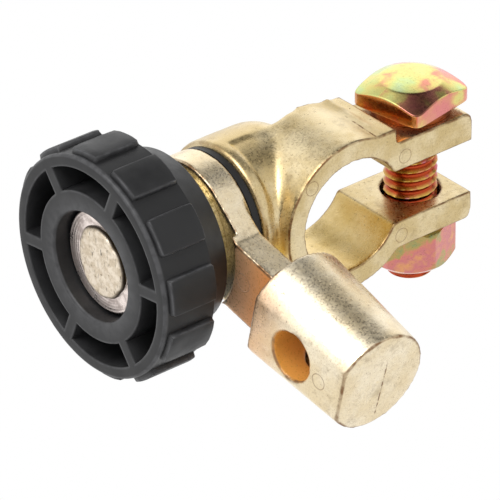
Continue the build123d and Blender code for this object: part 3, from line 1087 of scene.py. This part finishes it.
@dataclass
class ContactStud:
    """Turned stud with its thread, flange and square drive, the turned retaining washer and the
    peened end over it."""

    brass: Material
    steel: Material
    peened: Material
    tip: float = 10.3
    tip_chamfer: float = 0.8
    thread_radius: float = 5.0
    pitch: float = 1.5
    thread_depth: float = 0.7
    row_step: float = 0.12
    flange_back: float = 21.7
    flange_front: float = 24.9
    flange_radius: float = 8.57
    flange_edge: float = 0.4
    drive_half: float = 4.5
    drive_corner: float = 6.0
    core_radius: float = 4.85
    core_front: float = 34.9
    seat: float = 33.8
    washer_front: float = 35.2
    bore: float = 4.95
    rim: float = 7.9
    groove_pitch: float = 0.42
    groove_depth: float = 0.006
    dish: float = 0.22
    rim_round: float = 0.35
    wobble: float = 0.012
    peen_height: float = 0.7
    level_share: float = 0.86
    swell: tuple[tuple[int, float, float], ...] = ((1, -0.4, 0.42), (2, 0.22, 0.16), (3, -0.04, 0.14))
    mean_radius: float = 5.15

    def shank(self) -> bpy.types.Object:
        """Turn the stud: a threaded shank, a flange with chamfered rims, a square and a round core."""
        angle = around(96)
        rows = np.arange(self.tip, self.flange_back, self.row_step)[:, None]
        groove = thread_groove(rows, angle[None, :], self.pitch)
        fade = np.clip(1 - (rows - self.tip) / self.tip_chamfer, 0, 1)
        thread = self.thread_radius - self.thread_depth * np.maximum(groove, fade)
        drive = square_hole(angle, self.drive_half, self.drive_corner)[None, :]
        edge, rim = self.flange_edge, self.flange_radius
        reach, spread = stack_rows([
            (self.tip, 0.0),
            (rows, thread),
            (self.flange_back + column(0, edge), rim - column(edge, 0)),
            (self.flange_front - column(edge, 0), rim - column(0, edge)),
            (column(self.flange_front, self.seat), drive),
            (column(self.seat, self.core_front), self.core_radius),
            (self.core_front, 0.0),
        ], len(angle))
        points = STUD.place(reach, spread, angle[None, :])
        quads = grid_quads(*reach.shape, wrap_rows=False)
        piece = make_piece("contact_stud_turned", Body.KNOB, points, quads, self.brass)
        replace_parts(piece, "contact_stud")
        return piece

    def washer(self) -> bpy.types.Object:
        """Turn the washer: its face dips towards the bore and carries fine round grooves."""
        inner = self.rim - self.rim_round
        radius = np.linspace(self.bore + 0.05, inner, 60)
        dip = self.dish * (self.rim - radius) / (self.rim - self.bore)
        face = self.washer_front - dip + self.groove_depth * np.cos(TURN * radius / self.groove_pitch)
        section = np.concatenate([
            [(self.seat, self.bore)],
            np.column_stack([face, radius]),
            round_corner((self.washer_front, inner), (self.washer_front, self.rim),
                         (self.washer_front - self.rim_round, self.rim), 0.3),
            [(self.seat, self.rim)],
        ])
        angle = around(160)
        wobble = self.wobble * np.sin(3 * angle)[None, :]
        points = STUD.place(section[:, :1] + wobble, section[:, 1:], angle[None, :])
        quads = grid_quads(len(section), len(angle), wrap_rows=True)
        piece = make_piece("retaining_washer_turned", Body.KNOB, points, quads, self.steel)
        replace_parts(piece, "retaining_washer")
        return piece

    def peen(self) -> bpy.types.Object:
        """Spread the stud's end: a low button whose outline swells unevenly and whose face is bruised.

        The outline is a mean radius plus a few sines of whole turns. The height is full to near the
        rim and falls to the washer along a quarter ellipse.
        """
        angle = around(144)
        waves = [c * np.cos(k * angle) + s * np.sin(k * angle) for k, c, s in self.swell]
        outline = self.mean_radius + sum(waves)
        outline = outline + 0.1 * np.sin(9 * angle + 1.0) * np.sin(2 * angle)
        rim = self.level_share + (1 - self.level_share) * np.sin(np.linspace(0.1, np.pi / 2, 10))
        share = np.concatenate([np.linspace(0, self.level_share, 22), rim])[:, None]
        fall = np.clip((share - self.level_share) / (1 - self.level_share), 0, 1)
        base = self.washer_front - 0.15
        reach, spread = stack_rows([
            (base + self.peen_height * np.sqrt(1 - fall**2), share * outline),
            (base - 0.3, 3.0),
            (base - 0.3, 0.0),
        ], len(angle))
        points = STUD.place(reach, spread, angle[None, :])
        bruise = step_noise(points, 1.5, 11) * 0.05 + step_noise(points, 0.7, 12) * 0.03
        bruise = bruise.reshape(reach.shape)
        count = len(share)
        bruise[:count] = np.where(share < 0.9, bruise[:count] - 0.03, 0.5 * bruise[:count] - 0.02)
        bruise[count:] = 0
        points[:, 0] += bruise.ravel()
        dirt = np.zeros(reach.shape)
        dirt[:count] = bump_at(share, 1.0, 0.03)
        quads = grid_quads(*reach.shape, wrap_rows=False)
        piece = make_piece("peened_end", Body.KNOB, points, quads, self.peened, {Trait.CREASE: dirt}, 60)
        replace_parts(piece, "contact_stud")
        return piece


@dataclass
class ClampBolt:
    """Plated clamp bolt: helical thread on the shank and a square head, coned and domed."""

    material: Material
    thread_material: Material
    seat: float = 8.95
    tip: float = -17.85
    radius: float = 4.0
    pitch: float = 1.41
    thread_depth: float = 0.62
    row_step: float = 0.09
    tip_fade: float = 0.9
    base_radius: float = 5.9
    base_height: float = 1.05
    half_flats: float = 6.2
    envelope: float = 8.2
    corner_height: float = 3.0
    rim_radius: float = 4.6
    cone_slope: float = 0.5095
    crown_rise: float = 0.35
    turn: float = 10.0
    crest_gap: float = 0.02
    corner_power: int = 30
    crown_blend: float = 0.03

    def thread(self) -> bpy.types.Object:
        """Cut the thread: the radius falls from the crest by the groove's depth, and fades out at the
        tip."""
        rows = np.arange(self.tip, self.seat + 0.06, self.row_step)
        angle = around(72)
        depth = thread_groove(rows[:, None], angle[None, :], self.pitch)
        fade = np.clip((rows - self.tip) / self.tip_fade, 0, 1)[:, None]
        spread = self.radius - self.crest_gap - self.thread_depth * np.maximum(depth, 1 - fade)
        reach, spread = stack_rows([(self.tip, 0.0), (rows[:, None], spread), (rows[-1], 0.0)], len(angle))
        points = BOLT.place(reach, spread, angle[None, :])
        pink = 0.14 * bump_at(np.degrees(angle), 140, 45) * np.ones_like(reach)
        # Painted shade: the thread turns deep orange towards the root of each groove.
        warm = np.pad(np.clip(1.3 * depth, 0, 1), ((1, 1), (0, 0)))
        quads = grid_quads(*reach.shape, wrap_rows=False)
        traits = {Trait.WARM: warm, Trait.EDGE: pink}
        piece = make_piece("bolt_thread", Body.BOLT, points, quads, self.thread_material, traits, 55)
        return piece

    def head(self) -> bpy.types.Object:
        """Forge the head: the square's radius at each angle is the half width over the cosine, softly
        cut at the corners, and the top is a cone that turns into a shallow dome.

        The square and the corner cut are joined by a power mean, which rounds the corners.
        """
        angle = around(288)
        quarter = (angle - np.radians(self.turn) + np.pi / 4) % (np.pi / 2) - np.pi / 4
        flat = self.half_flats / np.cos(quarter)
        power = self.corner_power
        outline = (flat**-power + self.envelope**-power) ** (-1 / power)
        under = self.seat + self.base_height
        spread_top = outline * np.linspace(1, 0, 60)[1:-1, None]
        side_top = self.top(outline)
        reach, spread = stack_rows([
            (self.seat + column(0.0, 0.0, 0.05), self.base_radius * column(0.0, 0.99, 1.0)),
            (under, self.base_radius),
            (under, outline * column(0.9, 0.94, 0.98)),
            (under + column(0.02, 0.08, 0.2), outline * column(0.985, 0.996, 1.0)),
            (side_top - column(0.25, 0.1, 0.03), outline * column(1.0, 0.997, 0.99)),
            (self.top(spread_top), spread_top),
            (self.top(np.zeros(1)), 0.0),
        ], len(angle))
        points = BOLT.place(reach, spread, angle[None, :])
        quads = grid_quads(*reach.shape, wrap_rows=False)
        side = (reach < side_top[None, :] - 0.06) & (spread > outline[None, :] * 0.98)
        under_head = reach < under + 0.01
        facing = np.cos(angle - np.radians(self.turn))[None, :]
        facing_right = np.sin(angle - np.radians(self.turn))[None, :]
        corner = np.degrees(angle)[None, :] - self.turn - 45
        rise = (reach - under) / (side_top - under)
        streak = bump_at(rise, 0.62, 0.3) * (0.5 + 0.5 * step_noise(points, 1.1, 21).reshape(reach.shape))
        cone = (reach > under) & ~side & (spread > self.rim_radius * 0.98)
        # Painted shade: the head's underside turns dark orange-brown. Painted dark reflection: the front of
        # the cone, and a streak across the orange facet that faces most nearly +X.
        traits = {
            Trait.WARM: np.maximum(0.7 * side * (facing > 0.7), 0.9 * under_head),
            Trait.EDGE: (
                0.16 * side * (facing_right > 0.7) + 0.14 * cone * bump_at(corner, 0, 62)
                - 0.07 * bump_at(spread / self.rim_radius, 0, 0.8) * (reach > side_top)
            ),
            Trait.CREASE: np.maximum.reduce([
                0.55 * under_head,
                0.8 * cone * bump_at(corner, 0, 30),
                0.7 * side * (facing > 0.7) * np.clip(streak, 0, 1),
            ]),
        }
        piece = make_piece("bolt_head", Body.BOLT, points, quads, self.material, traits, 40)
        return piece

    def top(self, spread: Array) -> Array:
        """Give the head's height at a distance from its axis: the lower of a cone and a flat sphere,
        joined by a soft minimum."""
        rim = self.seat + self.corner_height + (self.envelope - self.rim_radius) * self.cone_slope
        cone = rim - (spread - self.rim_radius) * self.cone_slope
        dome = rim + self.crown_rise * (1 - (spread / self.rim_radius) ** 2)
        soft = self.crown_blend
        return -soft * np.log(np.exp(-cone / soft) + np.exp(-dome / soft))

    def build(self) -> None:
        """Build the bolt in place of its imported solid."""
        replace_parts(self.thread(), "clamp_bolt")
        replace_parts(self.head(), "clamp_bolt")


@dataclass
class ClampNut:
    """Plated hexagon nut with a chamfer at both ends."""

    material: Material
    seat: float = -8.65
    thickness: float = 7.3
    half_flats: float = 5.9
    face_radius: float = 5.3
    bore: float = 3.95
    face_bore: float = 4.35
    bore_chamfer: float = 0.4
    slope: float = 0.7813
    turn: float = 21.7

    def build(self) -> bpy.types.Object:
        """Build the nut: the hexagon's radius is the half width over the cosine, and a cone from each
        face's circle cuts the corners."""
        angle = around(360)
        sixth = (angle - np.radians(self.turn)) % (np.pi / 3) - np.pi / 6
        outline = (self.half_flats / np.cos(sixth) - 0.05 * bump_at(np.abs(sixth), np.pi / 6, 0.03))[None, :]
        share = column(0, 0.02, 0.08, 0.2, 0.4, 0.6, 0.8, 0.94, 1.0)
        spread = self.face_radius + (outline - self.face_radius) * share
        drop = (spread - self.face_radius) * self.slope + 0.05 * (1 - np.exp(-share * 12))
        near, far = self.seat, self.seat - self.thickness
        reach, radius = stack_rows([
            (near, self.face_bore),
            (near - drop, spread),
            ((far + drop)[::-1], spread[::-1]),
            (far, self.face_bore),
            (column(far + self.bore_chamfer, near - self.bore_chamfer), self.bore),
        ], len(angle))
        points = BOLT.place(reach, radius, angle[None, :])
        quads = grid_quads(*reach.shape, wrap_rows=True)
        piece = make_piece("clamp_nut_plated", Body.NUT, points, quads, self.material, None, 30)
        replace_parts(piece, "clamp_nut")
        return piece


@dataclass
class Studio:
    """Pale floor, soft room and a camera where the photographer's was."""

    camera_place: Triple = (0.42931, 0.39004, -0.50465)
    toward_viewer: Triple = (0.54153, 0.51269, -0.66625)
    up: Triple = (-0.32964, 0.85854, 0.39273)
    lens: float = 387.3
    sensor: float = 36.0
    clip: tuple[float, float] = (0.05, 20.0)
    floor_drop: float = 1.5
    floor_half: float = 6.0
    key_size: float = 0.5
    key_power: float = 5.0
    softbox: Triple = (-0.37, 0.56, 0.73)
    left_wall: Triple = (-0.93, 0.0, 0.36)
    overhead: Triple = (0.0, 0.97, 0.2)
    wall_band: tuple[float, float] = (-0.55, 0.95)
    box_band: tuple[float, float] = (0.66, 0.86)
    strip_band: tuple[float, float] = (0.905, 0.955)
    sweep_band: tuple[float, float] = (-0.45, -0.1)
    glow_band: tuple[float, float] = (0.84, 0.98)
    sweep_level: float = 1.14
    backlight: Triple = (0.05, 0.78, -0.62)
    backlight_level: float = 0.45
    wall_levels: tuple[float, float] = (0.25, 1.08)
    bright: float = 1.8
    overhead_level: float = 0.4

    def place_camera(self) -> None:
        """Put the camera on the measured axis, with its frame square to it."""
        data = bpy.data.cameras.new("camera")
        data.lens = self.lens
        data.sensor_width = self.sensor
        data.clip_start, data.clip_end = self.clip
        camera = bpy.data.objects.new("camera", data)
        back = Vector(self.toward_viewer).normalized()
        side = Vector(self.up).cross(back).normalized()
        top = back.cross(side)
        turned = Matrix((side, top, back)).transposed().to_4x4()
        turned.translation = Vector(self.camera_place)
        camera.matrix_world = turned
        bpy.context.scene.collection.objects.link(camera)
        bpy.context.scene.camera = camera

    def place_lamp(self, name: str, place: Triple, size: float, power: float) -> None:
        """Add one soft square lamp that looks at the part.

        Args:
            name: Name of the lamp.
            place: Its centre.
            size: Its side.
            power: Its power in watts.
        """
        data = bpy.data.lights.new(name, "AREA")
        data.shape = "SQUARE"
        data.size = size
        data.energy = power
        lamp = bpy.data.objects.new(name, data)
        lamp.location = place
        lamp.rotation_euler = Vector(place).to_track_quat("Z", "Y").to_euler()
        bpy.context.scene.collection.objects.link(lamp)

    def from_view(self, place: Triple) -> Vector:
        """Turn a direction given to the right, up and towards the photographer into the part's frame."""
        back = Vector(self.toward_viewer).normalized()
        side = Vector(self.up).cross(back).normalized()
        return (side * place[0] + back.cross(side) * place[1] + back * place[2]).normalized()

    def light_world(self) -> None:
        """Light the room as a photographer's tent: a white sweep behind the part, dim at the front.

        The camera sees plain white. Other rays take a level by the angle of their direction to
        fixed directions: white behind with a brighter patch high up, a pale wall on the left that
        fades to dim on the right, a soft box up on the left of the front, and a dim strip overhead.
        """
        world = bpy.data.worlds.new("room")
        world.use_nodes = True
        bpy.context.scene.world = world
        tree = world.node_tree
        tree.nodes.clear()
        way = add_node(tree, "ShaderNodeTexCoord").outputs["Generated"]

        def level(toward: Vector, band: tuple, start: float, end: float) -> Socket:
            """Map the cosine to a direction from a band's two ends to start and end, smoothly."""
            dot = add_node(tree, "ShaderNodeVectorMath", {0: way, 1: toward}, operation="DOT_PRODUCT")
            inputs = {"Value": dot.outputs["Value"], "From Min": band[0], "From Max": band[1]}
            inputs |= {"To Min": start, "To Max": end}
            return add_node(tree, "ShaderNodeMapRange", inputs, interpolation_type="SMOOTHSTEP").outputs[0]

        wall = level(self.from_view(self.left_wall), self.wall_band, *self.wall_levels)
        box = level(self.from_view(self.softbox), self.box_band, 0.0, self.bright)
        lit = add_node(tree, "ShaderNodeMath", {0: wall, 1: box}, operation="MAXIMUM").outputs[0]
        strip = level(self.from_view(self.overhead), self.strip_band, 1.0, self.overhead_level)
        front = add_node(tree, "ShaderNodeMath", {0: lit, 1: strip}, operation="MULTIPLY").outputs[0]
        sweep = level(Vector(self.toward_viewer), self.sweep_band, 1.0, 0.0)
        inputs = {0: sweep, 2: front, 3: self.sweep_level}
        room = add_node(tree, "ShaderNodeMix", inputs).outputs[0]
        glow = level(self.from_view(self.backlight), self.glow_band, 0.0, self.backlight_level)
        total = add_node(tree, "ShaderNodeMath", {0: room, 1: glow}, operation="ADD").outputs[0]
        white = linear("#ffffff")
        soft = add_node(tree, "ShaderNodeBackground", {"Color": white, "Strength": total})
        plain = add_node(tree, "ShaderNodeBackground", {"Color": white, "Strength": 1.0})
        path = add_node(tree, "ShaderNodeLightPath")
        inputs = {0: path.outputs["Is Camera Ray"], 1: soft.outputs[0], 2: plain.outputs[0]}
        mixed = add_node(tree, "ShaderNodeMixShader", inputs)
        add_node(tree, "ShaderNodeOutputWorld", {"Surface": mixed.outputs[0]})

    def lay_floor(self) -> None:
        """Lay a wide pale floor well below the part."""
        half = self.floor_half
        corners = np.array([(-half, -half), (half, -half), (half, half), (-half, half)])
        points = np.column_stack([corners, np.full(4, -self.floor_drop)])
        mesh = bpy.data.meshes.new("floor")
        mesh.from_pydata(points.tolist(), [], [(0, 1, 2, 3)])
        mesh.materials.append(Finish("pale_floor").finish("#f4f4f4", 0.9, []))
        floor = link_piece("floor", mesh)

    def build(self) -> None:
        """Set the whole studio."""
        bpy.context.scene.view_settings.view_transform = "Standard"
        self.place_camera()
        self.light_world()
        self.lay_floor()
        self.place_lamp("key", tuple(self.from_view(self.softbox)), self.key_size, self.key_power)
        LOG.info("studio set")


def dress(frame: dict, finishes: dict[str, Material]) -> None:
    """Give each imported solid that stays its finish.

    Args:
        frame: What the frame's loader returned.
        finishes: Node name to material.
    """
    for node, material in finishes.items():
        data = frame["nodes"][node].data
        data.materials.clear()
        data.materials.append(material)
        LOG.info("dressed %s", node)


CLAMP_PINS = ((7.66, 7.36, 0), (-9.7, 6.3, 0), (-9.12, -6.66, 0))
CLAMP_SCORE = ((-4.66, 11.37, 7.4), (-4.4, 11.39, 0.3))
LUG_PINS = ((21.3, -2.4, -1.0), (24.9, -8.05, -21.0))
LUG_SEAM = ((16.0, -5.6, -26.24), (16.5, -15.0, -24.1))
HEAD_FILM = ((0.3, "#d88480"), (0.4, "#d89478"), (0.47, "#decb7c"), (0.58, "#ccd488"), (0.72, "#b6d0ac"))
THREAD_FILM = ((0.3, "#c87888"), (0.42, "#c89058"), (0.5, "#d0b060"), (0.6, "#c8a850"), (0.72, "#b89858"))
NUT_FILM = ((0.32, "#7f9468"), (0.43, "#ac965e"), (0.49, "#cc8270"), (0.56, "#c4787a"), (0.66, "#d4966a"))


def main() -> None:
    """Build the pieces in order."""
    logging.basicConfig(level=logging.INFO, format="%(name)s %(message)s")
    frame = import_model()
    Studio().build()
    clamp_brass = CastBrassPlate(
        "clamp_brass_plate", "#e0cfa8", "#c9b382", CLAMP_PINS, 1.1, CLAMP_SCORE
    ).build()
    lug_brass = CastBrassPlate("lug_brass_plate", "#f0e3c8", "#e4d2ae", LUG_PINS, 1.4, LUG_SEAM).build()
    plastic = MouldedPlastic("knob_polypropylene", "#1c1c1d", "#171718", "#58585a").build()
    bush = MouldedPlastic("bush_polypropylene", "#1a1a1b", "#121213", "#2c2c2e").build()
    steel = TurnedSteel("turned_steel", "#ecdfd8", "#c2b4ad", 0.3, 1.6).build()
    turned_brass = TurnedSteel("turned_brass", "#cdbd92", "#a08e5c", 0.34).build()
    dark = TurnedSteel("oil_blackened_steel", "#7a6040", "#54422c", 0.45).build()
    Casting("clamp_casting", Body.CLAMP, clamp_brass, places=ClampPlaces()).build(frame)
    Casting("cable_lug", Body.LUG, lug_brass, places=LugPlaces()).build(frame)
    Knob(plastic).build()
    stud = ContactStud(turned_brass, steel, PeenedMetal().build())
    stud.shank()
    stud.washer()
    stud.peen()
    head_film = YellowChromate("head_yellow_chromate", HEAD_FILM, patch_rough=0.48).build()
    thread_film = YellowChromate("thread_yellow_chromate", THREAD_FILM, "#ac4426", patch_mm=2.5).build()
    ClampBolt(head_film, thread_film).build()
    ClampNut(YellowChromate("nut_yellow_chromate", NUT_FILM).build()).build()
    dress(frame, {
        "insulating_bush": bush,
        "contact_washer": turned_brass,
        "cable_set_screw": dark,
    })


if __name__ == "__main__":
    main()
